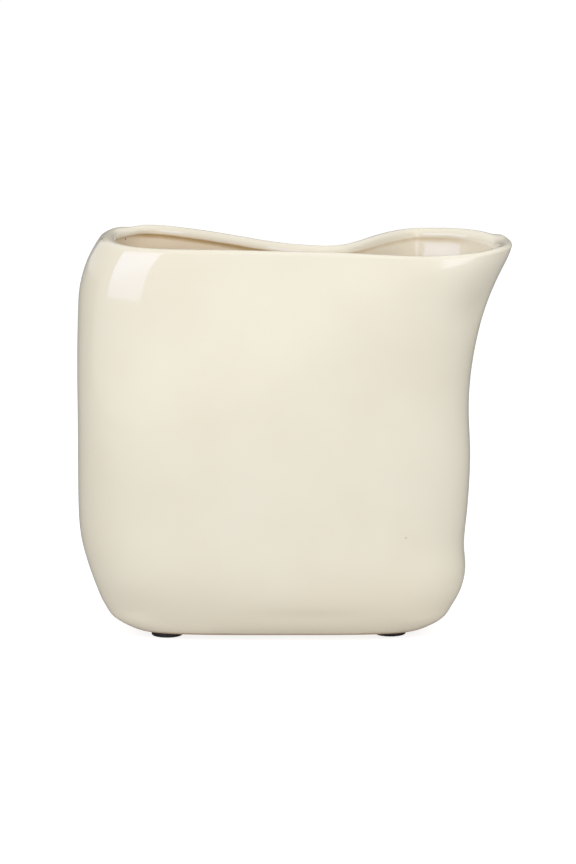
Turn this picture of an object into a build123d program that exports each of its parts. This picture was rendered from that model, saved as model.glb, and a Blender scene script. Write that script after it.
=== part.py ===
from build123d import *
import bisect
import math
import os

# Pillow vase: one hollow ceramic casting, squeezed at the mouth, on four stick-on pads.
# Millimetres. +X points to the spout, +Y to the pinched back wall, +Z up.
# The origin is on the standing surface, under the middle of the body.

# Body, outside
BODY_WIDTH = 221.6         # from the left side to the tip of the spout
BODY_DEPTH = 87.0          # front to back at the belly
BODY_HEIGHT = 199.0        # foot to rim, measured over the origin
FOOT_WIDTH = 143.0         # flat underside, left to right
FOOT_DEPTH = 54.0          # flat underside, front to back
FOOT_SHIFT = 7.5           # middle of the foot, left of the origin
FOOT_ROLL_LEFT = 16.0      # height over which each side curves in to the foot
FOOT_ROLL_RIGHT = 26.0
FOOT_ROLL_FRONT = 36.0
FOOT_ROLL_BACK = 36.0

# Mouth, as it was pressed in the soft clay
WAIST_GAP = 13.0           # clear opening where the back wall is pinched forward
PINCH_PLACE = 13.0         # the pinch lies this far to the right of the origin
PINCH_REACH_LEFT = 97.0    # how far the pinch runs out to each side
PINCH_REACH_RIGHT = 54.0
FRONT_PRESS = 8.0          # hollow of the front wall at the rim
PRESS_PLACE = 20.0         # its middle, left of the origin
PRESS_REACH = 85.0         # how far it runs out to each side
RIM_SHIFT = 3.0            # middle of the mouth, behind the origin
RIM_SKEW = 8.5             # left end of the mouth lies back by this, the spout forward
RIM_RISE = 2.4             # the back of the rim stands this much higher than the front

# Wall, floor and the rolled bead round the mouth
WALL = 4.0
FLOOR = 7.0
INNER_CORNER = 14.0        # round between the wall and the floor, inside
BEAD = 1.3                 # how far the bead stands in from the wall
BEAD_SIDE = 0.6            # straight part of the bead's inner side
BEAD_UNDERCUT = 1.6        # height over which the bead runs back into the wall
CUT_OVERRUN = 5.0

# Pads and the adhesive film that holds each one
PAD_DIAMETER = 16.0
PAD_THICKNESS = 2.5
PAD_EDGE_ROUND = 0.8
ADHESIVE_DIAMETER = 15.0
ADHESIVE_THICKNESS = 0.3
PAD_ROW_GAP = 10.0         # between a front pad and the back pad behind it
PAD_LEFT_MARGIN = 6.5      # from the end of the foot to the pad
PAD_RIGHT_MARGIN = 7.0
FRONT_RIGHT_SETBACK = 2.5  # the front right pad was stuck on this much further back

# Outlines: height as a share of BODY_HEIGHT, then reach as a share of half the width or depth
LEFT_SIDE_SHARES = [
    (0, 0.826), (0.05, 0.867), (0.12, 0.920), (0.18, 0.959), (0.24, 0.983), (0.32, 0.992),
    (0.50, 0.993), (0.66, 0.999), (0.79, 0.998), (0.87, 0.985), (0.93, 0.953), (0.97, 0.915), (1, 0.879),
]
RIGHT_SIDE_SHARES = [
    (0, 0.740), (0.06, 0.763), (0.12, 0.787), (0.16, 0.795), (0.215, 0.787), (0.30, 0.799),
    (0.45, 0.811), (0.57, 0.804), (0.68, 0.817), (0.78, 0.849), (0.86, 0.893), (0.92, 0.936),
    (0.97, 0.983), (1, 1.008),
]
DEPTH_SHARES = [(0, 0.99), (0.25, 1), (0.75, 1), (0.90, 1.015), (1, 1.055)]

# How square the plan is at each height, left and right of its middle: 2 is an ellipse, larger is squarer
LEFT_SQUARENESS_SHARES = [(0, 4.0), (0.12, 3.2), (0.25, 2.8), (0.5, 2.8), (0.8, 2.68), (1, 2.6)]
RIGHT_SQUARENESS_SHARES = [(0, 4.0), (0.12, 3.2), (0.25, 2.8), (0.5, 2.8), (0.8, 2.55), (1, 2.3)]

PRESS_START_SHARE = 0.40   # height where the pressing of the mouth begins
ROLL_CUT_SHARE = 0.97      # part of a roll's quarter ellipse that is left above the flat
RIM_ROUND_SHARE = 0.46     # rounding of the rim, of the lip's thickness
RIM_TILT_POWER = 6         # the tilt of the rim fades this fast down the wall

# Heights of the plan sections, as shares of the outside, of the hollow and of the rim's rounding
OUTSIDE_SHARES = [0, 0.008, 0.025, 0.05, 0.085, 0.13, 0.18, 0.24, 0.32, 0.42, 0.52, 0.62, 0.72,
                  0.80, 0.87, 0.93, 0.97, 1]
HOLLOW_SHARES = [0, 0.01, 0.03, 0.06, 0.10, 0.16, 0.24, 0.34, 0.45, 0.56, 0.67, 0.77, 0.86, 0.93, 1]
ROUND_SHARES = [0, 0.25, 0.5, 0.75, 1]

POINTS_PER_SIDE = 24       # points of each plan section along the front, and along the back

# Worked out from the sizes above
FOOT_LEVEL = PAD_THICKNESS + ADHESIVE_THICKNESS
LIP_THICKNESS = WALL + BEAD
RIM_ROUND = RIM_ROUND_SHARE * LIP_THICKNESS
BEAD_TOP = BODY_HEIGHT - RIM_ROUND
BEAD_BOTTOM = BEAD_TOP - BEAD_SIDE - BEAD_UNDERCUT


def between(points, place):
    """Value at a place on a smooth curve through (place, value) points."""
    places = [p for p, _ in points]
    values = [v for _, v in points]
    place = min(max(place, places[0]), places[-1])
    first = min(max(bisect.bisect_right(places, place) - 1, 0), len(points) - 2)

    def slope(index):
        low, high = max(index - 1, 0), min(index + 1, len(points) - 1)
        return (values[high] - values[low]) / (places[high] - places[low])

    span = places[first + 1] - places[first]
    t = (place - places[first]) / span
    start = (1 + 2 * t) * (1 - t) ** 2 * values[first] + t * (1 - t) ** 2 * span * slope(first)
    end = t * t * (3 - 2 * t) * values[first + 1] + t * t * (t - 1) * span * slope(first + 1)
    return start + end


def ease(t):
    """Smooth step from 0 to 1."""
    t = min(max(t, 0), 1)
    return t * t * (3 - 2 * t)


def swell(distance, reach):
    """Round bump: 1 at its middle, 0 at its reach."""
    return math.cos(math.pi / 2 * min(abs(distance) / reach, 1)) ** 2


def roll_in(height, roll_height):
    """How far a rounded corner has come in: 1 at the flat, 0 where the side begins."""
    t = ROLL_CUT_SHARE * max(0, 1 - height / roll_height)
    return (1 - math.sqrt(1 - t * t)) / (1 - math.sqrt(1 - ROLL_CUT_SHARE ** 2))


def reaches(height):
    """Left, right, front and back reach of the body at a height above the foot."""
    share = height / BODY_HEIGHT
    depth = between(DEPTH_SHARES, share) * BODY_DEPTH / 2
    sides = [
        (between(LEFT_SIDE_SHARES, share) * BODY_WIDTH / 2, FOOT_WIDTH / 2 + FOOT_SHIFT, FOOT_ROLL_LEFT),
        (between(RIGHT_SIDE_SHARES, share) * BODY_WIDTH / 2, FOOT_WIDTH / 2 - FOOT_SHIFT, FOOT_ROLL_RIGHT),
        (depth, FOOT_DEPTH / 2, FOOT_ROLL_FRONT),
        (depth, FOOT_DEPTH / 2, FOOT_ROLL_BACK),
    ]
    return [side - (side - foot) * roll_in(height, roll) for side, foot, roll in sides]


def plan_point(u, height, shrink, pinch):
    """Front and back point of the plan at a height, for u from -1 (left) to 1 (right)."""
    share = height / BODY_HEIGHT
    left, right, front, back = [reach - shrink for reach in reaches(height)]
    power = between(LEFT_SQUARENESS_SHARES if u < 0 else RIGHT_SQUARENESS_SHARES, share)
    pressed = ease((share - PRESS_START_SHARE) / (1 - PRESS_START_SHARE))
    x = (right - left) / 2 + (right + left) / 2 * u
    bulge = max(0, 1 - abs(u) ** power) ** (1 / power)
    middle = pressed * (RIM_SHIFT - RIM_SKEW * u)
    reach = PINCH_REACH_LEFT if x < PINCH_PLACE else PINCH_REACH_RIGHT
    front_y = middle - front * bulge + pressed * FRONT_PRESS * swell(x + PRESS_PLACE, PRESS_REACH)
    back_y = middle + back * bulge - pressed * pinch * swell(x - PINCH_PLACE, reach)
    return (x, front_y), (x, back_y)


def pinch_depth():
    """How deep the back wall is pushed in, so that the waist keeps its clear opening."""
    left, right, _, _ = reaches(BODY_HEIGHT)
    u = (PINCH_PLACE - (right - left) / 2) / ((right + left) / 2)
    (_, front_y), (_, back_y) = plan_point(u, BODY_HEIGHT, 0, 0)
    return back_y - front_y - 2 * LIP_THICKNESS - WAIST_GAP


PINCH = pinch_depth()


def half_plan(points, tilt):
    """Smooth edge through half of a plan section, square to its long axis at both ends."""
    steps = len(points) - 1
    ends = [Vector(*points[1]) - Vector(*points[0]), Vector(*points[-1]) - Vector(*points[-2])]
    tangents = [Vector(0, step.Y, tilt * step.Y).normalized() * step.length * steps for step in ends]
    even = [i / steps for i in range(steps + 1)]
    return Edge.make_spline(points, tangents=tangents, parameters=even, scale=False)


def plan(height, inset=0, shrink=0):
    """Closed plan section of the body at a height above the foot.

    inset moves the section in at right angles to itself, shrink shortens its reaches first.
    """
    steps = [-math.cos(math.pi * i / POINTS_PER_SIDE) for i in range(POINTS_PER_SIDE)]
    front = [plan_point(u, height, shrink, PINCH)[0] for u in steps]
    back = [plan_point(-u, height, shrink, PINCH)[1] for u in steps]
    loop = front + back
    tilt = min(height / BODY_HEIGHT, 1) ** RIM_TILT_POWER * RIM_RISE / BODY_DEPTH
    points = []
    for i, (x, y) in enumerate(loop):
        along = Vector(*loop[(i + 1) % len(loop)]) - Vector(*loop[i - 1])
        inward = Vector(-along.Y, along.X).normalized()
        x, y = x + inset * inward.X, y + inset * inward.Y
        points.append((x, y, FOOT_LEVEL + height + tilt * y))
    right_end = POINTS_PER_SIDE
    return Wire([half_plan(points[:right_end + 1], tilt), half_plan(points[right_end:] + points[:1], tilt)])


def rim_rounding():
    """Height above the foot, and draw-in, of each section through the rounding of the rim."""
    turns = [math.pi / 2 * share for share in ROUND_SHARES]
    return [(BEAD_TOP + RIM_ROUND * math.sin(turn), RIM_ROUND * (1 - math.cos(turn))) for turn in turns]


def outside():
    """Solid form of the body: foot, sides and rounded rim."""
    side = Solid.make_loft([plan(share * BEAD_TOP) for share in OUTSIDE_SHARES])
    return side + Solid.make_loft([plan(height, draw_in) for height, draw_in in rim_rounding()])


def hollow():
    """Space inside the body, from the floor up to the bead."""
    height = BEAD_BOTTOM - FLOOR
    rises = [share * height for share in HOLLOW_SHARES]
    return Solid.make_loft([
        plan(FLOOR + rise, WALL, INNER_CORNER * roll_in(rise, INNER_CORNER)) for rise in rises
    ])


def mouth():
    """Space inside the bead: it narrows above the wall and flares over the rounded rim."""
    flare = [(height, LIP_THICKNESS - draw_in) for height, draw_in in rim_rounding()]
    top, top_inset = flare[-1]
    steps = [(BEAD_BOTTOM, WALL), (BEAD_BOTTOM + BEAD_UNDERCUT, LIP_THICKNESS)]
    steps += flare + [(top + CUT_OVERRUN, top_inset)]
    return Solid.make_loft([plan(height, inset) for height, inset in steps], ruled=True)


def vase_body():
    """Casting with its hollow, its beaded mouth and its flat foot."""
    return outside() - hollow() - mouth()


def pad():
    """Round pad with a softened lower edge, standing on the origin."""
    disc = Cylinder(PAD_DIAMETER / 2, PAD_THICKNESS, align=(Align.CENTER, Align.CENTER, Align.MIN))
    return fillet(disc.edges().sort_by(Axis.Z)[0], PAD_EDGE_ROUND)


def adhesive():
    """Film between a pad and the foot."""
    disc = Cylinder(ADHESIVE_DIAMETER / 2, ADHESIVE_THICKNESS, align=(Align.CENTER, Align.CENTER, Align.MIN))
    return Pos(0, 0, PAD_THICKNESS) * disc


def pad_places():
    """Name and place of each pad under the foot."""
    left = -FOOT_SHIFT - FOOT_WIDTH / 2 + PAD_LEFT_MARGIN + PAD_DIAMETER / 2
    right = -FOOT_SHIFT + FOOT_WIDTH / 2 - PAD_RIGHT_MARGIN - PAD_DIAMETER / 2
    row = (PAD_DIAMETER + PAD_ROW_GAP) / 2
    return {
        "front_left": Pos(left, -row, 0),
        "front_right": Pos(right, -row + FRONT_RIGHT_SETBACK, 0),
        "back_left": Pos(left, row, 0),
        "back_right": Pos(right, row, 0),
    }


def main():
    """Write one file for each piece."""
    os.makedirs("parts", exist_ok=True)
    pieces = {"vase_body": vase_body()}
    for name, place in pad_places().items():
        pieces[f"pad_{name}"] = place * pad()
        pieces[f"adhesive_{name}"] = place * adhesive()
    for name, piece in pieces.items():
        piece.label = name
        export_step(piece, f"parts/{name}.step")


main()
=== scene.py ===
"""Pillow vase: a pressed ceramic vessel in a cream glaze, standing on four stick-on rubber pads.

Metres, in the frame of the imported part: +X to the spout, +Y to the pinched back wall, +Z up.
"""

import bisect
import logging
import math
from dataclasses import dataclass, field, replace
from enum import Enum
from typing import Any, Sequence, Union

import bmesh
import bpy
from mathutils import Matrix, Vector, noise


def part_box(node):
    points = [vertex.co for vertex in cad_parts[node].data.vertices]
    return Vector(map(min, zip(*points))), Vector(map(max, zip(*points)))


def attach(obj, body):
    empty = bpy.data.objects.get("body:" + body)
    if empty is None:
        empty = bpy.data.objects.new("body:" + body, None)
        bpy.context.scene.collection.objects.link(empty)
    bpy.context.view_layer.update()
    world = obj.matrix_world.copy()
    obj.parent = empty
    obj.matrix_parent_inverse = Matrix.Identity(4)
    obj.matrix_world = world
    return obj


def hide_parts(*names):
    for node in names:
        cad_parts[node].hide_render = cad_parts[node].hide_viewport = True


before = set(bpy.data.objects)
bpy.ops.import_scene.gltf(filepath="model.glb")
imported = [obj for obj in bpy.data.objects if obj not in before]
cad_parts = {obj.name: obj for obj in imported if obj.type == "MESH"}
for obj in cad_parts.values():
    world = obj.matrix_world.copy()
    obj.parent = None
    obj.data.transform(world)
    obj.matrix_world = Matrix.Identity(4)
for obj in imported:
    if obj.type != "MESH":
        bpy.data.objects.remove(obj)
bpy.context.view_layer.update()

BODY = "root"
MM = 0.001
LEVEL_GAP = MM / 100

log = logging.getLogger("pillow_vase")


class Coat(Enum):
    """Names of the values that the vase's mesh carries for its colour: painted shade in the crease under the
    bead, warmth with painted bounce light inside the mouth, and bare clay.
    """

    CREASE_SHADE = "painted_crease_shade"
    WARMTH_AND_BOUNCE = "warmth_and_painted_bounce"
    BARE = "bare_clay"


class PadPlace(Enum):
    """The four corners of the foot where a pad is stuck on."""

    FRONT_LEFT = "front_left"
    FRONT_RIGHT = "front_right"
    BACK_LEFT = "back_left"
    BACK_RIGHT = "back_right"

    @property
    def pad(self) -> str:
        """Name of the pad here."""
        return f"pad_{self.value}"

    @property
    def film(self) -> str:
        """Name of the adhesive film here."""
        return f"adhesive_{self.value}"


class Face(Enum):
    """The two broad walls of the vase, or both of them and the ends."""

    FRONT = -1
    BACK = 1
    ROUND = 0


def between(points: Sequence[tuple[float, float]], place: float) -> float:
    """Read a smooth curve through points.

    Args:
        points: (place, value) pairs in rising order of place.
        place: Where to read, held to the range of the points.

    Returns:
        The value there.
    """
    places = [p for p, _ in points]
    values = [v for _, v in points]
    place = min(max(place, places[0]), places[-1])
    first = min(max(bisect.bisect_right(places, place) - 1, 0), len(points) - 2)

    def slope(index: int) -> float:
        """Slope of the curve at one of its points."""
        low, high = max(index - 1, 0), min(index + 1, len(points) - 1)
        return (values[high] - values[low]) / (places[high] - places[low])

    span = places[first + 1] - places[first]
    t = (place - places[first]) / span
    start = (1 + 2 * t) * (1 - t) ** 2 * values[first] + t * (1 - t) ** 2 * span * slope(first)
    end = t * t * (3 - 2 * t) * values[first + 1] + t * t * (t - 1) * span * slope(first + 1)
    return start + end


def ease(t: float) -> float:
    """Smooth step from 0 to 1."""
    t = min(max(t, 0), 1)
    return t * t * (3 - 2 * t)


def swell(distance: float, reach: float) -> float:
    """Round bump: 1 at its middle, 0 at its reach."""
    return math.cos(math.pi / 2 * min(abs(distance) / reach, 1)) ** 2


@dataclass(frozen=True)
class PressMark:
    """A soft mark that a hand left in the wall: hollow where its depth is positive.

    Args:
        face: Wall that carries it.
        x: Its middle, along the vase.
        z: Its middle, above the floor.
        reach_x: How far it runs out along the vase.
        reach_z: How far it runs up and down.
        depth: How deep it is at its middle.
    """

    face: Face
    x: float
    z: float
    reach_x: float
    reach_z: float
    depth: float

    def at(self, x: float, z: float) -> float:
        """Depth of the mark at a place on its wall."""
        return self.depth * swell(x - self.x, self.reach_x) * swell(z - self.z, self.reach_z)


@dataclass(frozen=True)
class RimDip:
    """A place where the rim sank a little as it dried.

    Args:
        face: Wall that carries it.
        x: Its middle, along the vase.
        reach: How far it runs out to each side.
        drop: How far the rim is down at its middle.
        down: How far below the rim the wall still follows it.
    """

    face: Face
    x: float
    reach: float
    drop: float
    down: float = 40.0 * MM

    def at(self, x: float, below: float) -> float:
        """Drop at a place, and at a distance below the rim."""
        return self.drop * swell(x - self.x, self.reach) * ease(1 - below / self.down)


@dataclass(frozen=True)
class CreaseShadeFade:
    """A stretch along the rim over which the painted shade in the crease under the lip grows fainter.

    Args:
        start: Where it begins, along the vase.
        reach: How far it runs: to the left where it is negative.
        loss: Share of the painted crease shade that is gone at its end.
    """

    start: float
    reach: float
    loss: float

    def left_at(self, x: float) -> float:
        """Share of the painted crease shade that is left at a place."""
        return 1 - self.loss * ease((x - self.start) / self.reach)


@dataclass(frozen=True)
class PressedForm:
    """Outside form of the vase, as plan sections over its height."""

    width: float = 221.6 * MM
    depth: float = 87.0 * MM
    height: float = 198.9 * MM
    foot_width: float = 143.0 * MM
    foot_depth: float = 54.0 * MM
    foot_shift: float = 7.5 * MM
    foot_level: float = 2.8 * MM
    roll_left: float = 16.0 * MM
    roll_right: float = 26.0 * MM
    roll_front: float = 40.0 * MM
    roll_back: float = 36.0 * MM
    roll_cut: float = 0.97
    waist_gap: float = 13.0 * MM
    lip_thickness: float = 5.3 * MM
    pinch_place: float = 13.0 * MM
    pinch_reach_left: float = 97.0 * MM
    pinch_reach_right: float = 54.0 * MM
    front_press: float = 8.0 * MM
    press_place: float = -20.0 * MM
    press_reach: float = 85.0 * MM
    press_start: float = 0.40
    press_power: float = 2.5
    rim_shift: float = 3.0 * MM
    rim_skew: float = 8.5 * MM
    rim_rise: float = 2.4 * MM
    rim_tilt_power: int = 6
    columns: int = 128
    left_side: tuple[tuple[float, float], ...] = (
        (0, 0.826), (0.05, 0.867), (0.12, 0.916), (0.18, 0.953), (0.24, 0.981), (0.32, 0.989),
        (0.50, 0.991), (0.66, 0.993), (0.79, 0.989), (0.87, 0.982), (0.93, 0.952), (0.97, 0.915), (1, 0.879),
    )
    right_side: tuple[tuple[float, float], ...] = (
        (0, 0.740), (0.06, 0.759), (0.12, 0.780), (0.16, 0.791), (0.215, 0.779), (0.30, 0.795),
        (0.45, 0.809), (0.57, 0.799), (0.68, 0.812), (0.78, 0.845), (0.86, 0.890), (0.92, 0.935),
        (0.97, 0.978), (1, 0.995),
    )
    broad_side: tuple[tuple[float, float], ...] = (
        (0, 0.99), (0.25, 1), (0.75, 1), (0.90, 1.015), (1, 1.055),
    )
    left_squareness: tuple[tuple[float, float], ...] = (
        (0, 4.0), (0.12, 3.2), (0.25, 2.8), (0.5, 2.8), (0.8, 2.68), (1, 2.6),
    )
    right_squareness: tuple[tuple[float, float], ...] = (
        (0, 4.0), (0.12, 3.2), (0.25, 2.8), (0.5, 2.8), (0.8, 2.55), (1, 2.3),
    )

    def roll_in(self, height: float, roll: float) -> float:
        """How far a rounded corner has come in: 1 at the flat, 0 where the side begins."""
        t = self.roll_cut * max(0, 1 - height / roll)
        return (1 - math.sqrt(1 - t * t)) / (1 - math.sqrt(1 - self.roll_cut ** 2))

    def reaches(self, height: float) -> list[float]:
        """Measure the form at a height.

        Args:
            height: Height above the foot.

        Returns:
            Reach to the left, right, front and back of the origin.
        """
        share = height / self.height
        half_depth = between(self.broad_side, share) * self.depth / 2
        half_width, half_foot = self.width / 2, self.foot_width / 2
        left = between(self.left_side, share) * half_width
        right = between(self.right_side, share) * half_width
        sides = [
            (left, half_foot + self.foot_shift, self.roll_left),
            (right, half_foot - self.foot_shift, self.roll_right),
            (half_depth, self.foot_depth / 2, self.roll_front),
            (half_depth, self.foot_depth / 2, self.roll_back),
        ]
        return [side - (side - foot) * self.roll_in(height, roll) for side, foot, roll in sides]

    def walls(self, u: float, height: float, shrink: float, pinch: float) -> tuple[float, float, float]:
        """Find the two walls across the plan.

        Args:
            u: Place along the plan, from -1 at the left to 1 at the right.
            height: Height above the foot.
            shrink: Length taken off each reach.
            pinch: Depth of the pinch in the back wall, at the rim.

        Returns:
            X of the place, and Y of the front and of the back wall there.
        """
        share = height / self.height
        left, right, front, back = [reach - shrink for reach in self.reaches(height)]
        power = between(self.left_squareness if u < 0 else self.right_squareness, share)
        rise = max(0, (share - self.press_start) / (1 - self.press_start))
        pressed = ease(rise)
        x = (right - left) / 2 + (right + left) / 2 * u
        bulge = max(0, 1 - abs(u) ** power) ** (1 / power)
        middle = pressed * (self.rim_shift - self.rim_skew * u)
        reach = self.pinch_reach_left if x < self.pinch_place else self.pinch_reach_right
        hollow = self.front_press * swell(x - self.press_place, self.press_reach)
        front_y = middle - front * bulge + rise ** self.press_power * hollow
        back_y = middle + back * bulge - pressed * pinch * swell(x - self.pinch_place, reach)
        return x, front_y, back_y

    def pinch(self) -> float:
        """Find the pinch that leaves the waist its clear opening.

        Returns:
            Its depth at the rim.
        """
        left, right, _, _ = self.reaches(self.height)
        u = (self.pinch_place - (right - left) / 2) / ((right + left) / 2)
        _, front_y, back_y = self.walls(u, self.height, 0, 0)
        return back_y - front_y - 2 * self.lip_thickness - self.waist_gap

    def loop(self, height: float, shrink: float = 0) -> list[tuple[float, float]]:
        """Draw the plan at a height.

        Args:
            height: Height above the foot.
            shrink: Length taken off each reach.

        Returns:
            Points along the front from left to right, then along the back to the left again.
        """
        half = self.columns // 2
        pinch = self.pinch()
        steps = [-math.cos(math.pi * i / half) for i in range(half)]
        front = [self.walls(u, height, shrink, pinch) for u in steps]
        back = [self.walls(-u, height, shrink, pinch) for u in steps]
        return [(x, y) for x, y, _ in front] + [(x, y) for x, _, y in back]

    def tilt(self, height: float) -> float:
        """Slope of the plan at a height, up to the back."""
        return min(height / self.height, 1) ** self.rim_tilt_power * self.rim_rise / self.depth


@dataclass(frozen=True)
class Section:
    """One ring of the vase's wall, in the order in which the wall is drawn out.

    Args:
        height: Height above the foot.
        inset: Distance in from the outside form, square to the plan.
        shrink: Length taken off each reach of the plan.
        scale: Size of the ring about its middle.
        ends: Share of the lip's extra thickness at the two ends that this ring takes.
        sag: How much lower the ring lies at the two ends.
        under: Share of the overhang of the bead that this ring stands back by.
        pool: How strong the painted shade is here, in the crease under the bead.
        warmth: How far the colour turns to the warm colour here: painted bounce light inside the mouth and on
            the bead, and a warmer tone towards the foot.
        paler: Share of the warmth that is lost towards the spout.
        bare: 1 where the clay has no glaze.
        worked: Share of the hand's marks that this ring takes.
    """

    height: float
    inset: float = 0.0
    shrink: float = 0.0
    scale: float = 1.0
    ends: float = 0.0
    sag: float = 0.0
    under: float = 0.0
    pool: float = 0.0
    warmth: float = 0.0
    paler: float = 0.0
    bare: float = 0.0
    worked: float = 0.0


@dataclass
class VaseBody:
    """The casting: foot, pressed wall, rolled lip, inside and floor, in one wall."""

    form: PressedForm = field(default_factory=PressedForm)
    wall: float = 4.0 * MM
    floor: float = 7.0 * MM
    inner_corner: float = 14.0 * MM
    outer_round: float = 2.0 * MM
    inner_round: float = 3.3 * MM
    end_turn: float = 0.35
    bead_side: float = 0.5 * MM
    bead_undercut: float = 0.7 * MM
    bead_overhang: float = 0.2 * MM
    overhang_end: float = 5.0 * MM
    overhang_fade: float = 40.0 * MM
    bead_sag: float = 0.9
    # Painted shade on the bead's lower rings, darkest towards the crease.
    bead_crease_shades: tuple[float, ...] = (0.12, 0.3, 0.6)
    # Painted bounce light on the bead's inner face: share of the lighter warm colour.
    bead_bounce_warmth: float = 0.5
    crease_paler: float = 0.6
    inside_paler: float = 0.75
    paler_reach: float = 55.0 * MM
    # How far down the inner wall the painted crease shade runs.
    crease_shade_reach: float = 3.2 * MM
    # Where the painted crease shade fades: along the rim towards the spout, and at the left end.
    crease_shade_fades: tuple[CreaseShadeFade, ...] = (
        CreaseShadeFade(-30.0 * MM, 80.0 * MM, 0.5),
        CreaseShadeFade(-72.0 * MM, -20.0 * MM, 0.7),
        CreaseShadeFade(75.0 * MM, 30.0 * MM, 1.0),
    )
    lip_fade: float = 28.0 * MM
    left_end: tuple[float, float] = (-78.0 * MM, -97.0 * MM)
    right_end: tuple[float, float] = (78.0 * MM, 108.0 * MM)
    left_extra: float = 3.4 * MM
    right_extra: float = 2.4 * MM
    end_passes: int = 2
    end_easing: float = 0.5
    inside_worked: float = 60.0 * MM
    foot_scales: tuple[float, ...] = (0.35, 0.70, 0.92)
    foot_insets: tuple[float, ...] = (0.75 * MM, 0.25 * MM)
    floor_scales: tuple[float, ...] = (0.75, 0.4)
    foot_warmth: float = 0.3
    foot_warm_reach: float = 45.0 * MM
    bare_reach: float = 2.6 * MM
    unworked_foot: float = 8.0 * MM
    rim_steps: int = 6
    wave_height: float = 0.22 * MM
    wave_length: float = 46.0 * MM
    outside_shares: tuple[float, ...] = (
        0.004, 0.010, 0.020, 0.033, 0.046, 0.058, 0.068, 0.078, 0.088, 0.098, 0.110, 0.125, 0.145,
        0.170, 0.200, 0.240, 0.285, 0.335, 0.390, 0.445, 0.500, 0.555, 0.610, 0.660, 0.710, 0.755,
        0.800, 0.830, 0.860, 0.885, 0.910, 0.932, 0.952, 0.970, 0.986, 1.0,
    )
    inside_shares: tuple[float, ...] = (
        0.997, 0.992, 0.985, 0.97, 0.95, 0.92, 0.88, 0.84, 0.78, 0.71, 0.64, 0.56, 0.48, 0.40, 0.32, 0.25,
        0.19, 0.14, 0.10, 0.07, 0.045, 0.025, 0.012, 0.004, 0.0,
    )
    marks: tuple[PressMark, ...] = (
        PressMark(Face.ROUND, -87.0 * MM, 7.5 * MM, 27.0 * MM, 9.0 * MM, -2.5 * MM),
        PressMark(Face.ROUND, 73.0 * MM, 8.0 * MM, 22.0 * MM, 9.0 * MM, -1.8 * MM),
        PressMark(Face.FRONT, -70.0 * MM, 12.0 * MM, 50.0 * MM, 20.0 * MM, 1.6 * MM),
        PressMark(Face.FRONT, -86.0 * MM, 15.0 * MM, 30.0 * MM, 18.0 * MM, 1.2 * MM),
        PressMark(Face.FRONT, -66.0 * MM, 42.0 * MM, 46.0 * MM, 16.0 * MM, -0.5 * MM),
        PressMark(Face.FRONT, 8.0 * MM, 23.0 * MM, 46.0 * MM, 12.0 * MM, -0.4 * MM),
        PressMark(Face.FRONT, 6.0 * MM, 14.7 * MM, 48.0 * MM, 4.5 * MM, 0.5 * MM),
        PressMark(Face.FRONT, 76.0 * MM, 210.0 * MM, 34.0 * MM, 21.0 * MM, 3.0 * MM),
        PressMark(Face.FRONT, 42.0 * MM, 214.0 * MM, 60.0 * MM, 62.0 * MM, 3.2 * MM),
        PressMark(Face.FRONT, 40.0 * MM, 206.0 * MM, 44.0 * MM, 26.0 * MM, 2.4 * MM),
        PressMark(Face.FRONT, 86.0 * MM, 187.0 * MM, 22.0 * MM, 22.0 * MM, -1.6 * MM),
        PressMark(Face.FRONT, 88.0 * MM, 189.5 * MM, 30.0 * MM, 12.0 * MM, 0.6 * MM),
        PressMark(Face.FRONT, 95.0 * MM, 173.0 * MM, 21.0 * MM, 22.0 * MM, 2.5 * MM),
        PressMark(Face.FRONT, 92.0 * MM, 132.0 * MM, 22.0 * MM, 30.0 * MM, 0.4 * MM),
        PressMark(Face.BACK, 78.0 * MM, 202.0 * MM, 34.0 * MM, 10.0 * MM, 1.2 * MM),
        PressMark(Face.BACK, 76.0 * MM, 177.0 * MM, 34.0 * MM, 22.0 * MM, 2.0 * MM),
    )
    dips: tuple[RimDip, ...] = (
        RimDip(Face.FRONT, 74.0 * MM, 66.0 * MM, 1.9 * MM),
        RimDip(Face.FRONT, -80.0 * MM, 46.0 * MM, 0.6 * MM),
        RimDip(Face.FRONT, 103.0 * MM, 12.0 * MM, -0.8 * MM, down=20.0 * MM),
        RimDip(Face.FRONT, 88.0 * MM, 26.0 * MM, -0.5 * MM),
        RimDip(Face.BACK, 100.5 * MM, 4.0 * MM, 0.5 * MM, down=5.0 * MM),
        RimDip(Face.BACK, 105.5 * MM, 4.5 * MM, -0.8 * MM, down=5.0 * MM),
        RimDip(Face.BACK, -83.0 * MM, 6.0 * MM, 0.7 * MM, down=5.0 * MM),
        RimDip(Face.BACK, -92.0 * MM, 6.0 * MM, -0.4 * MM, down=5.0 * MM),
        RimDip(Face.BACK, 90.0 * MM, 26.0 * MM, -0.5 * MM),
        RimDip(Face.BACK, 60.0 * MM, 24.0 * MM, 0.9 * MM),
        RimDip(Face.BACK, 26.0 * MM, 20.0 * MM, 0.6 * MM),
        RimDip(Face.BACK, -57.0 * MM, 34.0 * MM, 0.6 * MM),
    )

    def __post_init__(self) -> None:
        """Work out the heights of the lip."""
        self.shoulder = self.form.height - self.outer_round
        self.bead_top = self.form.height - self.inner_round
        self.bead_bottom = self.bead_top - self.bead_side - self.bead_undercut

    def foot_sections(self) -> list[Section]:
        """Draw the underside.

        Returns:
            Its rings, from its middle out to its edge.
        """
        flat = [Section(0, scale=scale, bare=1) for scale in self.foot_scales]
        edge = [Section(0, inset=inset, bare=1) for inset in self.foot_insets]
        return flat + edge

    def outside_sections(self) -> list[Section]:
        """Draw the outside of the wall.

        Returns:
            Its rings, from the foot up to the lip.
        """
        rings = []
        for share in self.outside_shares:
            height = share * self.shoulder
            warmth = self.foot_warmth * ease(1 - height / self.foot_warm_reach)
            bare = ease(1 - height / self.bare_reach)
            worked = ease(height / self.unworked_foot)
            rings.append(Section(height, warmth=warmth, bare=bare, worked=worked))
        return rings

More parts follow.
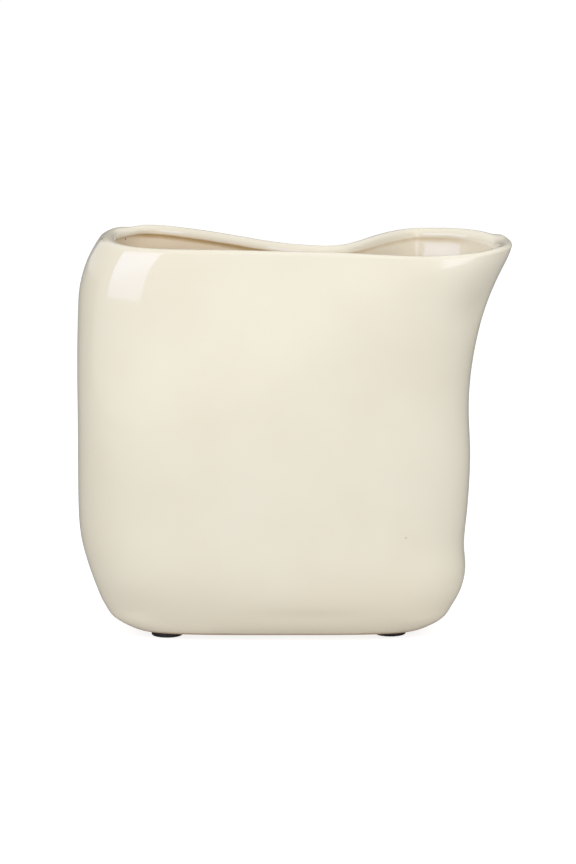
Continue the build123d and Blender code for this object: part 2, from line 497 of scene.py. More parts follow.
    def lip_sections(self) -> list[Section]:
        """Draw the rounded rim and the bead inside it.

        Returns:
            Their rings, down to the crease under the bead.
        """
        turns = [math.pi / 2 * step / self.rim_steps for step in range(1, self.rim_steps + 1)]
        thick = self.form.lip_thickness
        crest = self.outer_round / (self.outer_round + self.inner_round)
        rings = []
        for turn in turns:
            across = crest * (1 - math.cos(turn))
            height = self.shoulder + self.outer_round * math.sin(turn)
            rings.append(Section(height, across * thick, ends=across, worked=1))
        for turn in reversed(turns[:-1]):
            across = crest + (1 - crest) * math.cos(turn)
            height = self.bead_top + self.inner_round * math.sin(turn)
            slope = self.bead_bottom + (self.form.height - self.bead_bottom) * math.sin(turn)
            rings.append(Section(height, across * thick, ends=across, sag=height - slope, worked=1))
        # The bead's inner face is lighter and warmer: painted bounce light.
        bead = Section(
            self.bead_top, thick, ends=1, warmth=self.bead_bounce_warmth, paler=self.inside_paler, worked=1,
        )
        # The bead's lower rings darken towards the crease: painted shade.
        drops = (0, self.bead_side, self.bead_side + self.bead_undercut / 2)
        for drop, pool in zip(drops, self.bead_crease_shades):
            height = self.bead_top - drop
            sag = self.bead_sag * (height - self.bead_bottom)
            rings.append(replace(bead, height=height, sag=sag, pool=pool))
        # The crease under the bead takes full painted shade, where the bead overhangs.
        crease = replace(bead, height=self.bead_bottom, under=1, pool=1, warmth=1, paler=self.crease_paler)
        return rings + [crease]

    def inside_sections(self) -> list[Section]:
        """Draw the inner wall and the floor.

        Returns:
            Their rings, down from the crease.
        """
        drop = self.bead_bottom - self.floor
        rings = []
        for share in self.inside_shares:
            rise = share * drop
            shrink = self.inner_corner * self.form.roll_in(rise, self.inner_corner)
            below = drop - rise
            ends = ease(1 - below / self.lip_fade)
            inset = self.wall + ends * (self.form.lip_thickness - self.wall)
            # Painted crease shade, fading down the inner wall.
            pool = ease(1 - below / self.crease_shade_reach)
            # The inner wall takes the warm colour in full: painted bounce light.
            rings.append(Section(
                self.floor + rise, inset, shrink, ends=ends, under=ends, pool=pool, warmth=1,
                paler=self.inside_paler, worked=ease(1 - below / self.inside_worked),
            ))
        last = Section(self.floor, self.wall, self.inner_corner, warmth=1, paler=self.inside_paler)
        return rings + [replace(last, scale=scale) for scale in self.floor_scales]

    def ring(self, section: Section) -> list[Vector]:
        """Place the points of one ring.

        Args:
            section: The ring to place.

        Returns:
            One point for each column of the mesh.
        """
        loop = self.form.loop(section.height, section.shrink)
        middle_x = sum(x for x, _ in loop) / len(loop)
        middle_y = sum(y for _, y in loop) / len(loop)
        tilt = self.form.tilt(section.height)
        points = []
        for i, (x, y) in enumerate(loop):
            ahead, behind = loop[(i + 1) % len(loop)], loop[i - 1]
            inward = Vector((behind[1] - ahead[1], ahead[0] - behind[0])).normalized()
            face = Face.FRONT if i < len(loop) // 2 else Face.BACK
            left, right = self.end_shares(x)
            flank = ease(abs(math.sin(2 * math.pi * i / len(loop))) / self.end_turn)
            inset = section.inset + section.ends * (left * self.left_extra + right * self.right_extra)
            overhang = self.bead_overhang * (1 - ease((x - self.overhang_end) / self.overhang_fade))
            inset -= section.under * overhang
            inset += section.worked * self.worked_depth(x, y, section.height, face, flank)
            x = middle_x + section.scale * (x + inset * inward.x - middle_x)
            y = middle_y + section.scale * (y + inset * inward.y - middle_y)
            below = self.form.height - section.height
            drop = flank * sum(dip.at(x, below) for dip in self.dips if dip.face is face)
            z = section.height - section.sag * (left + right) + tilt * y - drop
            points.append(Vector((x, y, self.form.foot_level + z)))
        return self.eased_ends(points, section.ends)

    def eased_ends(self, points: list[Vector], share: float) -> list[Vector]:
        """Round a ring off at the two ends of the mouth, where the thick lip turns tightly.

        Args:
            points: The points of the ring.
            share: How fully they are rounded off.

        Returns:
            The points in their new places.
        """
        for _ in range(self.end_passes):
            pairs = zip(points[-1:] + points[:-1], points, points[1:] + points[:1])
            points = [
                here.lerp((behind + ahead) / 2, self.end_easing * share * sum(self.end_shares(here.x)))
                for behind, here, ahead in pairs
            ]
        return points

    def end_shares(self, x: float) -> tuple[float, float]:
        """Tell how far a place lies into the two ends of the mouth.

        Args:
            x: The place, along the vase.

        Returns:
            Share of the left end, and of the right end.
        """
        left = ease((x - self.left_end[0]) / (self.left_end[1] - self.left_end[0]))
        right = ease((x - self.right_end[0]) / (self.right_end[1] - self.right_end[0]))
        return left, right

    def worked_depth(self, x: float, y: float, height: float, face: Face, flank: float) -> float:
        """Depth of the hand's marks and of the wall's slow waves.

        Args:
            x: Place along the vase.
            y: Place across the vase.
            height: Height above the foot.
            face: Wall that the place is on.
            flank: 1 along the wall, falling to 0 where it turns into the other wall.

        Returns:
            How far the place lies in from the outside form.
        """
        z = self.form.foot_level + height
        wave = noise.noise(Vector((x, y, z)) / self.wave_length)
        shares = {face: flank, Face.ROUND: 1.0}
        marks = sum(shares.get(mark.face, 0) * mark.at(x, z) for mark in self.marks)
        return marks + self.wave_height * wave

    def crease_shade_share(self, x: float) -> float:
        """How strong the painted shade in the crease under the lip is: less towards the spout and at both
        ends.
        """
        return math.prod(fade.left_at(x) for fade in self.crease_shade_fades)

    def build(self, glaze: bpy.types.Material) -> bpy.types.Object:
        """Model the vase.

        Args:
            glaze: Material of the finished piece.

        Returns:
            The vase as one closed mesh.
        """
        sections = self.foot_sections() + self.outside_sections()
        sections += self.lip_sections() + self.inside_sections()
        bpy.ops.object.select_all(action="DESELECT")
        bpy.ops.mesh.primitive_circle_add(
            vertices=self.form.columns, radius=self.form.foot_depth / 2, fill_type="NGON", location=(0, 0, 0)
        )
        vase = bpy.context.object
        vase.name = vase.data.name = "vase"
        bpy.ops.object.mode_set(mode="EDIT")
        self.name_columns(vase)
        self.shape_ring(vase, sections[0])
        for section in sections[1:]:
            bpy.ops.mesh.extrude_region()
            self.shape_ring(vase, section)
        bpy.ops.mesh.select_all(action="SELECT")
        bpy.ops.mesh.normals_make_consistent(inside=False)
        bpy.ops.object.mode_set(mode="OBJECT")
        vase.data.attributes.remove(vase.data.attributes["column"])
        smooth_over(vase, levels=1)
        vase.data.materials.append(glaze)
        return vase

    def name_columns(self, vase: bpy.types.Object) -> None:
        """Number the circle's points, and add the values that the glaze reads.

        Args:
            vase: The vase, in edit mode, as a circle.
        """
        mesh = bmesh.from_edit_mesh(vase.data)
        column = mesh.verts.layers.int.new("column")
        for coat in Coat:
            mesh.verts.layers.float.new(coat.value)
        mesh.verts.ensure_lookup_table()
        for vert in mesh.verts:
            vert[column] = vert.index
        bmesh.update_edit_mesh(vase.data)

    def shape_ring(self, vase: bpy.types.Object, section: Section) -> None:
        """Move the selected ring to its section, and mark its colour: painted crease shade, warmth with
        painted bounce light, and bare clay.

        Args:
            vase: The vase, in edit mode.
            section: Where the ring goes.
        """
        mesh = bmesh.from_edit_mesh(vase.data)
        column = mesh.verts.layers.int["column"]
        coats = {coat: mesh.verts.layers.float[coat.value] for coat in Coat}
        points = self.ring(section)
        for vert in (vert for vert in mesh.verts if vert.select):
            vert.co = points[vert[column]]
            # Painted shade in the crease under the bead.
            vert[coats[Coat.CREASE_SHADE]] = section.pool * self.crease_shade_share(vert.co.x)
            # Warm painted bounce light inside, and a warmer tone at the foot; paler towards the spout.
            to_spout = ease(vert.co.x / self.paler_reach)
            vert[coats[Coat.WARMTH_AND_BOUNCE]] = section.warmth * (1 - section.paler * to_spout)
            vert[coats[Coat.BARE]] = section.bare
        bmesh.update_edit_mesh(vase.data)


def smooth_over(piece: bpy.types.Object, levels: int) -> None:
    """Round a piece off with a subdivision surface and shade it smooth.

    Args:
        piece: The piece.
        levels: How often its faces are split.
    """
    bpy.ops.object.select_all(action="DESELECT")
    piece.select_set(True)
    bpy.context.view_layer.objects.active = piece
    surface = piece.modifiers.new("round_off", "SUBSURF")
    surface.levels = surface.render_levels = levels
    bpy.ops.object.modifier_apply(modifier=surface.name)
    bpy.ops.object.shade_smooth()


@dataclass
class RubberPads:
    """Four moulded pads, each with a dished underside and a soft lower edge."""

    sides: int = 48
    lower_round: float = 0.8 * MM
    lower_segments: int = 5
    upper_round: float = 0.2 * MM
    upper_segments: int = 2
    smooth_angle: float = math.radians(50)
    dish_width: float = 3.2 * MM
    dish_depth: float = 0.25 * MM

    def mould(self, low: Vector, high: Vector) -> bpy.types.Mesh:
        """Model one pad about the origin.

        Args:
            low: Lowest corner of a pad.
            high: Highest corner of a pad.

        Returns:
            Mesh of the pad, standing on the origin.
        """
        thickness = high.z - low.z
        bpy.ops.object.select_all(action="DESELECT")
        bpy.ops.mesh.primitive_cylinder_add(
            vertices=self.sides, radius=(high.x - low.x) / 2, depth=thickness, location=(0, 0, thickness / 2)
        )
        pad = bpy.context.object
        bpy.ops.object.transform_apply(location=True)
        bpy.ops.object.mode_set(mode="EDIT")
        self.bevel_edge(pad, 0, self.lower_round, self.lower_segments)
        self.bevel_edge(pad, thickness, self.upper_round, self.upper_segments)
        self.select_cap(pad, 0)
        bpy.ops.mesh.inset(thickness=self.dish_width)
        bpy.ops.mesh.inset(thickness=2 * self.dish_depth)
        bpy.ops.transform.translate(value=(0, 0, self.dish_depth))
        bpy.ops.mesh.inset(thickness=2 * self.dish_depth)
        self.select_cap(pad, thickness)
        bpy.ops.mesh.inset(thickness=2 * self.upper_round)
        bpy.ops.object.mode_set(mode="OBJECT")
        bpy.ops.object.shade_smooth_by_angle(angle=self.smooth_angle)
        mesh = pad.data.copy()
        bpy.data.objects.remove(pad)
        return mesh

    def bevel_edge(self, pad: bpy.types.Object, z: float, width: float, segments: int) -> None:
        """Round the edge that lies at one height.

        Args:
            pad: The pad, in edit mode.
            z: Height of the edge.
            width: Width of the rounding.
            segments: Steps of the rounding.
        """
        bpy.ops.mesh.select_all(action="DESELECT")
        mesh = bmesh.from_edit_mesh(pad.data)
        for edge in mesh.edges:
            edge.select_set(all(abs(vert.co.z - z) < LEVEL_GAP for vert in edge.verts))
        bmesh.update_edit_mesh(pad.data)
        bpy.ops.mesh.bevel(offset=width, segments=segments, profile=0.5, affect="EDGES")

    def select_cap(self, pad: bpy.types.Object, z: float) -> None:
        """Select the flat face that lies at one height.

        Args:
            pad: The pad, in edit mode.
            z: Height of the face.
        """
        bpy.ops.mesh.select_all(action="DESELECT")
        mesh = bmesh.from_edit_mesh(pad.data)
        for face in mesh.faces:
            face.select_set(all(abs(vert.co.z - z) < LEVEL_GAP for vert in face.verts))
        bmesh.update_edit_mesh(pad.data)

    def build(self, rubber: bpy.types.Material) -> dict[PadPlace, bpy.types.Object]:
        """Model one pad and set a copy at each place.

        Args:
            rubber: Material of the pads.

        Returns:
            The four pads by place.
        """
        first = self.mould(*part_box(PadPlace.FRONT_LEFT.pad))
        pads = {}
        for place in PadPlace:
            low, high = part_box(place.pad)
            mesh = first.copy()
            mesh.transform(Matrix.Translation(((low.x + high.x) / 2, (low.y + high.y) / 2, low.z)))
            mesh.materials.clear()
            mesh.materials.append(rubber)
            pad = bpy.data.objects.new(f"rubber_{place.pad}", mesh)
            bpy.context.scene.collection.objects.link(pad)
            pads[place] = pad
        bpy.data.meshes.remove(first)
        return pads


Operand = Union["Value", float]


class Value:
    """A number that changes over a surface, so that sums of sockets are written as sums."""

    def __init__(self, sheet: "NodeSheet", socket: bpy.types.NodeSocket) -> None:
        """Wrap one output socket of a node sheet."""
        self.sheet = sheet
        self.socket = socket

    def maths(self, operation: str, first: Operand, second: Operand) -> "Value":
        """Add one Math node and give its result."""
        node = self.sheet.node("ShaderNodeMath", {"operation": operation}, {0: first, 1: second})
        return Value(self.sheet, node.outputs[0])

    def __add__(self, other: Operand) -> "Value":
        """Sum."""
        return self.maths("ADD", self, other)

    def __radd__(self, other: Operand) -> "Value":
        """Sum, the other way round."""
        return self.maths("ADD", other, self)

    def __sub__(self, other: Operand) -> "Value":
        """Difference."""
        return self.maths("SUBTRACT", self, other)

    def __rsub__(self, other: Operand) -> "Value":
        """Difference, the other way round."""
        return self.maths("SUBTRACT", other, self)

    def __mul__(self, other: Operand) -> "Value":
        """Product."""
        return self.maths("MULTIPLY", self, other)

    def __rmul__(self, other: Operand) -> "Value":
        """Product, the other way round."""
        return self.maths("MULTIPLY", other, self)

    def higher(self, other: Operand) -> "Value":
        """The larger of two values."""
        return self.maths("MAXIMUM", self, other)


Colour = tuple[float, float, float]


@dataclass(frozen=True)
class Cloud:
    """Soft noise over a finish.

    Args:
        scale: Clouds to the metre.
        detail: How many finer layers it has.
        offset: Shift, so that two clouds differ.
    """

    scale: float
    detail: float = 2.0
    offset: float = 0.0


class NodeSheet:
    """The nodes of one material or of the world."""

    def __init__(self, tree: bpy.types.NodeTree) -> None:
        """Empty a node tree and write on it."""
        self.tree = tree
        self.tree.nodes.clear()

    @classmethod
    def material(cls, name: str) -> tuple[bpy.types.Material, "NodeSheet"]:
        """Make a new material.

        Args:
            name: Its name.

        Returns:
            The material and its sheet.
        """
        material = bpy.data.materials.new(name)
        material.use_nodes = True
        return material, cls(material.node_tree)

    def node(self, kind: str, settings: dict[str, Any], inputs: dict[Any, Any]) -> bpy.types.Node:
        """Add a node.

        Args:
            kind: Type of the node.
            settings: Its settings by name.
            inputs: Values, sockets or wrapped values, by the name or number of the input.

        Returns:
            The new node.
        """
        node = self.tree.nodes.new(kind)
        for name, value in settings.items():
            setattr(node, name, value)
        for name, value in inputs.items():
            socket = node.inputs[name]
            if isinstance(value, Value):
                self.tree.links.new(value.socket, socket)
            elif isinstance(value, bpy.types.NodeSocket):
                self.tree.links.new(value, socket)
            elif socket.type == "RGBA":
                socket.default_value = (*value, 1.0)
            else:
                socket.default_value = value
        return node

    def place(self) -> bpy.types.NodeSocket:
        """Place on the piece, in metres."""
        return self.node("ShaderNodeTexCoord", {}, {}).outputs["Object"]

    def cloud(self, cloud: Cloud) -> Value:
        """Soft noise from 0 to 1.

        Args:
            cloud: Size and detail of the noise.

        Returns:
            The noise.
        """
        shift = (cloud.offset,) * 3
        spot = self.node("ShaderNodeMapping", {}, {"Vector": self.place(), "Location": shift})
        inputs = {"Vector": spot.outputs[0], "Scale": cloud.scale, "Detail": cloud.detail}
        node = self.node("ShaderNodeTexNoise", {}, inputs)
        return Value(self, node.outputs["Fac"])

    def carried(self, coat: Coat) -> Value:
        """A value that the mesh carries."""
        node = self.node("ShaderNodeAttribute", {"attribute_name": coat.value}, {})
        return Value(self, node.outputs["Fac"])

    def step(self, value: Value, low: float, high: float) -> Value:
        """Step a value smoothly.

        Args:
            value: The value.
            low: Where the step begins.
            high: Where the step ends.

        Returns:
            0 at the beginning of the step, 1 at its end.
        """
        node = self.node(
            "ShaderNodeMapRange", {"interpolation_type": "SMOOTHSTEP"},
            {"Value": value, "From Min": low, "From Max": high},
        )
        return Value(self, node.outputs[0])

    def blend(self, share: Operand, first: Any, second: Any) -> bpy.types.NodeSocket:
        """Mix two colours.

        Args:
            share: Share of the second colour.
            first: Colour or socket.
            second: Colour or socket.

        Returns:
            Socket of the mixed colour.
        """
        node = self.node("ShaderNodeMix", {"data_type": "RGBA"}, {0: share, 6: first, 7: second})
        return node.outputs[2]

    def finish(self, shader: bpy.types.Node, output: str = "ShaderNodeOutputMaterial") -> None:
        """Send a shader to the output."""
        self.node(output, {}, {"Surface": shader.outputs[0]})


@dataclass(frozen=True)
class Speck:
    """A small iron speck that burned through the glaze.

    Args:
        place: Where it is on the vase.
        strength: How dark it is, from 0 to 1.
        radius: Its size.
        core: Share of the radius that has its full colour.
        rim: Share of the radius where its colour ends.
    """

    place: tuple[float, float, float]
    strength: float
    radius: float = 0.6 * MM
    core: float = 0.5
    rim: float = 1.2

    def mask(self, sheet: NodeSheet) -> Value:
        """Mark the speck on the glaze.

        Args:
            sheet: Where to write.

        Returns:
            Share of the speck's colour at each place.
        """
        gap = sheet.node("ShaderNodeVectorMath", {"operation": "DISTANCE"}, {0: sheet.place(), 1: self.place})
        away = Value(sheet, gap.outputs["Value"])
        outside = sheet.step(away, self.core * self.radius, self.rim * self.radius)
        return self.strength * (1 - outside)


@dataclass(frozen=True)
class CreamGlaze:
    """Glossy cream glaze over buff clay that is bare under the foot, with painted brown shade in the crease
    under the bead and painted warm bounce light inside the mouth.
    """

    cream: Colour = (0.840, 0.790, 0.665)
    warm_cream: Colour = (0.815, 0.755, 0.620)
    # Lighter warm colour: painted bounce light inside the mouth and on the bead, also the warmer tone towards
    # the foot.
    warm: Colour = (0.950, 0.825, 0.645)
    # Brown of the painted shade in the crease under the bead.
    shaded_crease: Colour = (0.560, 0.385, 0.190)
    clay: Colour = (0.560, 0.430, 0.300)
    speck: Colour = (0.180, 0.090, 0.045)
    roughness: float = 0.04
    mottle_roughness: float = 0.03
    clay_roughness: float = 0.75
    ior: float = 1.5
    mottle: Cloud = Cloud(16, detail=3)
    mottle_steps: tuple[float, float] = (0.3, 0.75)
    crease_shade_edge: Cloud = Cloud(120, offset=5)
    crease_shade_ragged: float = 0.3
    crease_shade_steps: tuple[float, float] = (0.1, 1.0)
    bare_edge: Cloud = Cloud(70, offset=7)
    bare_ragged: float = 0.5
    bare_steps: tuple[float, float] = (0.45, 0.6)
    grain: Cloud = Cloud(900, offset=3)
    ripples: tuple[tuple[float, Cloud], ...] = ((0.6, Cloud(60, offset=2)), (0.4, Cloud(260, offset=4)))
    relief_strength: float = 0.10
    relief_height: float = 0.4 * MM
    specks: tuple[Speck, ...] = (
        Speck((-97.3 * MM, 6.0 * MM, 200.8 * MM), 0.8, radius=0.9 * MM),
        Speck((-85.9 * MM, 30.9 * MM, 196.7 * MM), 0.8),
        Speck((-76.6 * MM, -21.6 * MM, 4.3 * MM), 0.8),
        Speck((56.3 * MM, -37.3 * MM, 55.5 * MM), 0.3),
    )

    def material(self) -> bpy.types.Material:
        """Mix the glaze.

        Returns:
            Its material.
        """
        material, sheet = NodeSheet.material("cream_glaze")
        mottle = sheet.cloud(self.mottle)
        # Painted shade: brown in the crease under the bead, with a ragged edge.
        shaded_crease = sheet.carried(Coat.CREASE_SHADE) + self.crease_shade_ragged * (sheet.cloud(self.crease_shade_edge) - 0.5)
        unglazed = sheet.carried(Coat.BARE) + self.bare_ragged * (sheet.cloud(self.bare_edge) - 0.5)
        pool = sheet.step(shaded_crease, *self.crease_shade_steps)
        bare = sheet.step(unglazed, *self.bare_steps)
        glaze = sheet.blend(sheet.step(mottle, *self.mottle_steps), self.cream, self.warm_cream)
        # Warm colour from the mesh: painted bounce light inside the mouth and on the bead, and a warmer tone
        # towards the foot.
        glaze = sheet.blend(sheet.carried(Coat.WARMTH_AND_BOUNCE), glaze, self.warm)
        glaze = sheet.blend(pool, glaze, self.shaded_crease)
        for speck in self.specks:
            glaze = sheet.blend(speck.mask(sheet), glaze, self.speck)
        colour = sheet.blend(bare, glaze, self.clay)
        relief = bare * sheet.cloud(self.grain)
        for share, ripple in self.ripples:
            relief = share * sheet.cloud(ripple) + relief
        bump = sheet.node(
            "ShaderNodeBump", {},
            {"Strength": self.relief_strength, "Distance": self.relief_height, "Height": relief},
        )
        glazed = (1 - bare) * (self.roughness + self.mottle_roughness * mottle)
        roughness = glazed + bare * self.clay_roughness
        shader = sheet.node(
            "ShaderNodeBsdfPrincipled", {},
            {"Base Color": colour, "Roughness": roughness, "Normal": bump.outputs[0], "IOR": self.ior},
        )
        sheet.finish(shader)
        return material


@dataclass(frozen=True)
class BlackRubber:
    """Moulded black rubber with a satin skin and dust in its grain."""

    black: Colour = (0.018, 0.017, 0.016)
    dusty: Colour = (0.045, 0.043, 0.040)
    roughness: float = 0.42
    dust_roughness: float = 0.2
    dust: Cloud = Cloud(420, detail=4)
    dust_steps: tuple[float, float] = (0.45, 0.75)
    grain: Cloud = Cloud(4000, offset=1)
    grain_strength: float = 0.25
    grain_height: float = 0.05 * MM

    def material(self) -> bpy.types.Material:
        """Mix the rubber.

        Returns:
            Its material.
        """
        material, sheet = NodeSheet.material("black_rubber")
        dust = sheet.step(sheet.cloud(self.dust), *self.dust_steps)
        grain = sheet.cloud(self.grain)
        bump = sheet.node(
            "ShaderNodeBump", {},
            {"Strength": self.grain_strength, "Distance": self.grain_height, "Height": grain},
        )
        shader = sheet.node(
            "ShaderNodeBsdfPrincipled", {},
            {
                "Base Color": sheet.blend(dust, self.black, self.dusty),
                "Roughness": self.roughness + self.dust_roughness * dust,
                "Normal": bump.outputs[0],
            },
        )
        sheet.finish(shader)
        return material


@dataclass(frozen=True)
class AdhesiveFilm:
    """Thin pale tape between a pad and the foot."""

    film: Colour = (0.55, 0.52, 0.45)
    grimy: Colour = (0.40, 0.36, 0.29)
    roughness: float = 0.5
    grime_roughness: float = 0.1
    grime: Cloud = Cloud(500, detail=3)
    grime_steps: tuple[float, float] = (0.4, 0.7)

    def material(self) -> bpy.types.Material:
        """Make the film's finish.

        Returns:
            Its material.
        """
        material, sheet = NodeSheet.material("clear_adhesive")
        grime = sheet.step(sheet.cloud(self.grime), *self.grime_steps)
        shader = sheet.node(
            "ShaderNodeBsdfPrincipled", {},
            {
                "Base Color": sheet.blend(grime, self.film, self.grimy),
                "Roughness": self.roughness + self.grime_roughness * grime,
            },
        )
        sheet.finish(shader)
        return material


@dataclass(frozen=True)
class Softbox:
    """A rectangular lamp that lights things and doesn't show in the glaze.

    Args:
        name: Name of the lamp.
        place: Its middle.
        aim: Point that it faces.
        width: Its width.
        height: Its height.
        radiance: Brightness of its face.
    """

    name: str
    place: tuple[float, float, float]
    aim: tuple[float, float, float]
    width: float
    height: float
    radiance: float

    def build(self) -> bpy.types.Object:
        """Hang the lamp.

        Returns:
            The lamp.
        """
        light = bpy.data.lights.new(self.name, "AREA")
        light.shape = "RECTANGLE"
        light.size, light.size_y = self.width, self.height
        light.energy = self.radiance * math.pi * self.width * self.height
        lamp = bpy.data.objects.new(self.name, light)
        lamp.visible_glossy = False
        lamp.location = self.place
        lamp.rotation_euler = (Vector(self.aim) - Vector(self.place)).to_track_quat("-Z", "Y").to_euler()
        bpy.context.scene.collection.objects.link(lamp)
        return lamp


def show_in_gloss_only(card: bpy.types.Object) -> None:
    """Stage a card that shows in the glaze, and neither to the camera nor in the light on things."""
    card.visible_camera = card.visible_diffuse = card.visible_shadow = False


@dataclass(frozen=True)
class GlintPanel:
    """The bright face of a softbox as the glaze shows it, dimmer towards its lower edge.

    Args:
        name: Name of the panel.
        place: Its middle.
        aim: Point that it faces.
        width: Its width.
        height: Its height.
        radiance: Brightness of its face.
        dim: Share of the brightness that is left at its lower edge.
        fade: Share of its height over which it dims.
        flare: Width of its upper edge, as a share of its width.
        tint: Colour of its light.
    """

    name: str
    place: tuple[float, float, float]
    aim: tuple[float, float, float]
    width: float
    height: float
    radiance: float
    dim: float = 1.0
    fade: float = 0.5
    flare: float = 1.0
    tint: Colour = (0.92, 1.0, 1.5)

    def glow(self) -> bpy.types.Material:
        """Make the panel's light.

        Returns:
            Its material.
        """
        material, sheet = NodeSheet.material(self.name)
        split = sheet.node("ShaderNodeSeparateXYZ", {}, {0: sheet.place()})
        low = -self.height / 2
        rise = sheet.step(Value(sheet, split.outputs["Y"]), low, low + self.fade * self.height)
        dimmed = tuple(self.dim * part for part in self.tint)
        colour = sheet.blend(rise, dimmed, self.tint)
        sheet.finish(sheet.node("ShaderNodeEmission", {}, {"Color": colour, "Strength": self.radiance}))
        return material

    def build(self) -> bpy.types.Object:
        """Hang the panel.

        Returns:
            The panel.
        """
        bpy.ops.object.select_all(action="DESELECT")
        bpy.ops.mesh.primitive_plane_add(size=1, location=(0, 0, 0))
        panel = bpy.context.object
        panel.name = panel.data.name = self.name
        panel.scale = (self.width, self.height, 1)
        bpy.ops.object.transform_apply(scale=True)
        for vert in panel.data.vertices:
            if vert.co.y > 0:
                vert.co.x *= self.flare
        panel.location = self.place
        panel.rotation_euler = (Vector(self.aim) - Vector(self.place)).to_track_quat("Z", "Y").to_euler()
        panel.data.materials.append(self.glow())
        show_in_gloss_only(panel)
        return panel


@dataclass(frozen=True)
class EdgeCard:
    """A grey card near the vase that only its glaze sees, so that its edges stand out from the white.

    Args:
        name: Name of the card.
        middle: X and Y of the middle of its foot.
        turn: Direction that it runs in: 0 along X.
        length: Its length.
        height: Its height.
        grey: How pale it is.
        soft: Length over which it thins out to nothing at its upper edge and its two ends.
    """

    name: str
    middle: tuple[float, float]
    turn: float
    length: float
    height: float
    grey: float
    soft: float = 10.0 * MM

    def paint(self) -> bpy.types.Material:
        """Make the card's grey.

        Returns:
            Its material.
        """
        material, sheet = NodeSheet.material(self.name)
        split = sheet.node("ShaderNodeSeparateXYZ", {}, {0: sheet.place()})
        along, up = (Value(sheet, split.outputs[axis]) for axis in "XY")
        end, top = self.length / 2, self.height / 2
        ends = sheet.step(along.higher(-1 * along), end - self.soft, end)
        thin = ends.higher(sheet.step(up, top - self.soft, top))
        grey = sheet.node("ShaderNodeBsdfDiffuse", {}, {"Color": (self.grey,) * 3})
        clear = sheet.node("ShaderNodeBsdfTransparent", {}, {})
        card = sheet.node("ShaderNodeMixShader", {}, {0: thin, 1: grey.outputs[0], 2: clear.outputs[0]})
        sheet.finish(card)
        return material

    def build(self) -> bpy.types.Object:
        """Stand the card on the floor.

        Returns:
            The card.
        """
        bpy.ops.object.select_all(action="DESELECT")
        place = (*self.middle, self.height / 2)
        bpy.ops.mesh.primitive_plane_add(size=1, location=place, rotation=(math.pi / 2, 0, self.turn))
        card = bpy.context.object
        card.name = card.data.name = self.name
        card.scale = (self.length, self.height, 1)
        bpy.ops.object.transform_apply(location=False, rotation=False, scale=True)
        card.data.materials.append(self.paint())
        show_in_gloss_only(card)
        return card


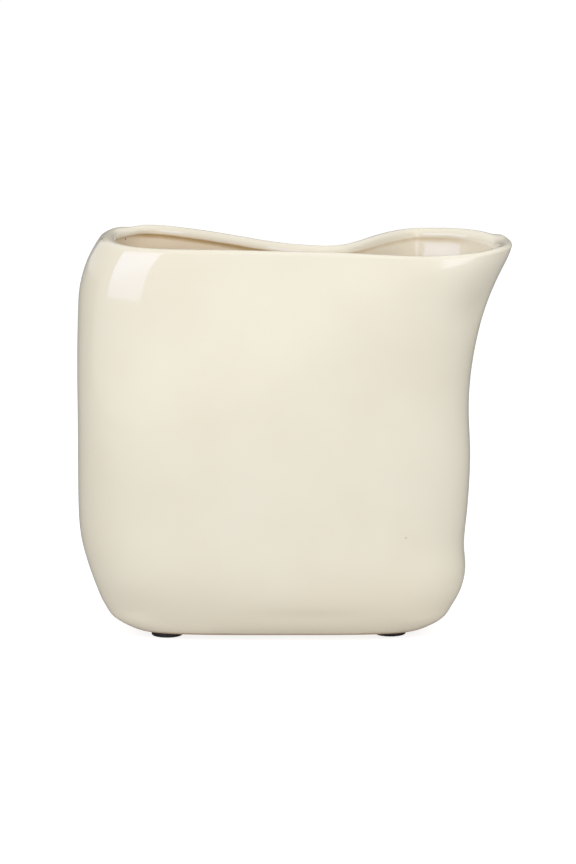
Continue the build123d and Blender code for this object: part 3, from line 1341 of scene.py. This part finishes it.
@dataclass
class Studio:
    """Floor, light and camera around the vase."""

    floor_size: float = 40.0
    floor_grey: Colour = (0.4, 0.4, 0.4)
    floor_shown: float = 0.83
    floor_bounce: float = 0.27
    room_shown: float = 1.0
    room_light: float = 0.46
    camera_pitch: float = math.radians(11.2)
    camera_distance: float = 3.0
    camera_target: tuple[float, float, float] = (-3.05 * MM, 0.48 * MM, 102.4 * MM)
    sensor: float = 36.0
    lens: float = 246.1
    softboxes: tuple[Softbox, ...] = (
        Softbox("overhead_wash", (0.1, -1.1, 1.85), (0, 0, 0.1), 1.8, 1.4, 2.3),
        Softbox("front_wash", (0, -2.6, 1.0), (0, 0, 0.1), 1.4, 1.4, 1.3),
        Softbox("left_wash", (-1.55, -1.21, 0.85), (-0.08, -0.02, 0.18), 1.30, 0.94, 1.8),
        Softbox("right_wash", (1.45, -1.35, 0.85), (0.08, -0.02, 0.18), 0.90, 0.80, 2.6),
    )
    panels: tuple[GlintPanel, ...] = (
        GlintPanel("overhead_glint", (0.1, -1.08, 1.82), (0, 0, 0.1), 1.8, 1.4, 0.8),
        GlintPanel(
            "left_glint", (-1.55, -1.10, 0.83), (-0.08, -0.02, 0.18), 1.22, 0.91, 3.6, dim=0.60, flare=1.25,
        ),
        GlintPanel(
            "right_glint", (1.06, -1.76, 0.59), (0.08, -0.02, 0.18), 1.24, 1.05, 3.0, tint=(1.0, 0.96, 1.15),
        ),
    )
    cards: tuple[EdgeCard, ...] = (
        EdgeCard("left_card", (-0.165, 0.29), math.pi / 2, 0.62, 0.20, 0.46),
        EdgeCard("right_card", (0.165, 0.29), math.pi / 2, 0.62, 0.30, 0.28),
        EdgeCard("back_card", (0, 0.62), 0, 0.90, 0.60, 0.05, soft=0.20),
    )
    mat_grey: Colour = (0.36, 0.36, 0.36)
    mat_size: float = 8.0
    mat_lift: float = 0.3 * MM
    mat_fade: tuple[float, float] = (0.4, 3.5)
    mat_edge: Colour = (0.8, 0.8, 0.8)

    def by_view(self, sheet: NodeSheet, lighting: bpy.types.Node, shown: bpy.types.Node) -> bpy.types.Node:
        """Tell what a surface shows from the light that it gives.

        Args:
            sheet: Where to write.
            lighting: Shader for the light that falls on things.
            shown: Shader for what the camera sees, also in gloss and through glass.

        Returns:
            The shader that does both.
        """
        path = sheet.node("ShaderNodeLightPath", {}, {})
        camera, glossy, through = (
            Value(sheet, path.outputs[name])
            for name in ("Is Camera Ray", "Is Glossy Ray", "Is Transmission Ray")
        )
        seen = camera.higher(glossy).higher(through)
        return sheet.node("ShaderNodeMixShader", {}, {0: seen, 1: lighting.outputs[0], 2: shown.outputs[0]})

    def build_floor(self) -> bpy.types.Object:
        """Lay the pale floor, which keeps the vase's shadow.

        Returns:
            The floor.
        """
        bpy.ops.object.select_all(action="DESELECT")
        bpy.ops.mesh.primitive_plane_add(size=self.floor_size, location=(0, 0, 0))
        floor = bpy.context.object
        floor.name = floor.data.name = "studio_floor"
        material, sheet = NodeSheet.material("studio_white")
        paint = sheet.node("ShaderNodeBsdfDiffuse", {}, {"Color": self.floor_grey})
        bounce = sheet.node("ShaderNodeEmission", {}, {"Strength": self.floor_bounce})
        shown = sheet.node("ShaderNodeEmission", {}, {"Strength": self.floor_shown})
        glow = self.by_view(sheet, bounce, shown)
        sheet.finish(sheet.node("ShaderNodeAddShader", {}, {0: paint.outputs[0], 1: glow.outputs[0]}))
        floor.data.materials.append(material)
        return floor

    def build_mat(self) -> bpy.types.Object:
        """Lay a mat that only the glaze sees: grey round the vase, pale towards its edge.

        Returns:
            The mat.
        """
        paint, sheet = NodeSheet.material("mat_grey")
        away = sheet.node("ShaderNodeVectorMath", {"operation": "LENGTH"}, {0: sheet.place()})
        fade = sheet.step(Value(sheet, away.outputs["Value"]), *self.mat_fade)
        colour = sheet.blend(fade, self.mat_grey, self.mat_edge)
        sheet.finish(sheet.node("ShaderNodeBsdfDiffuse", {}, {"Color": colour}))
        bpy.ops.object.select_all(action="DESELECT")
        bpy.ops.mesh.primitive_plane_add(size=self.mat_size, location=(0, 0, self.mat_lift))
        mat = bpy.context.object
        mat.name = mat.data.name = "grey_mat"
        bpy.ops.object.transform_apply(location=True)
        mat.data.materials.append(paint)
        show_in_gloss_only(mat)
        return mat

    def build_world(self) -> None:
        """Light the room evenly; the camera and the glaze see it white."""
        world = bpy.data.worlds.new("studio_room")
        world.use_nodes = True
        sheet = NodeSheet(world.node_tree)
        light = sheet.node("ShaderNodeBackground", {}, {"Color": (1, 1, 1), "Strength": self.room_light})
        shown = sheet.node("ShaderNodeBackground", {}, {"Color": (1, 1, 1), "Strength": self.room_shown})
        sheet.finish(self.by_view(sheet, light, shown), "ShaderNodeOutputWorld")
        bpy.context.scene.world = world

    def build_camera(self) -> bpy.types.Object:
        """Set up the camera at the photograph's angle.

        Returns:
            The camera.
        """
        data = bpy.data.cameras.new("camera")
        data.sensor_fit = "VERTICAL"
        data.sensor_width = data.sensor_height = self.sensor
        data.lens = self.lens
        camera = bpy.data.objects.new("camera", data)
        target = Vector(self.camera_target)
        away = Vector((0, -math.cos(self.camera_pitch), math.sin(self.camera_pitch)))
        camera.location = target + self.camera_distance * away
        camera.rotation_euler = (-away).to_track_quat("-Z", "Y").to_euler()
        bpy.context.scene.collection.objects.link(camera)
        bpy.context.scene.camera = camera
        return camera

    def build(self) -> None:
        """Set up the studio."""
        bpy.context.scene.view_settings.view_transform = "Standard"
        self.build_floor()
        self.build_world()
        for light in self.softboxes + self.panels:
            light.build()
        for card in self.cards:
            card.build()
        self.build_mat()
        self.build_camera()


def report(piece: bpy.types.Object) -> None:
    """Log a finished piece."""
    log.info("%s: %d faces", piece.name, len(piece.data.polygons))


def main() -> None:
    """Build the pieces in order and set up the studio."""
    logging.basicConfig(level=logging.INFO, format="%(name)s: %(message)s")

    vase = VaseBody().build(CreamGlaze().material())
    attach(vase, BODY)
    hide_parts("vase_body")
    report(vase)

    for place, pad in RubberPads().build(BlackRubber().material()).items():
        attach(pad, BODY)
        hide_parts(place.pad)
        report(pad)

    film = AdhesiveFilm().material()
    for place in PadPlace:
        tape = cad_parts[place.film]
        tape.data.materials.clear()
        tape.data.materials.append(film)
        report(tape)

    Studio().build()


if __name__ == "__main__":
    main()
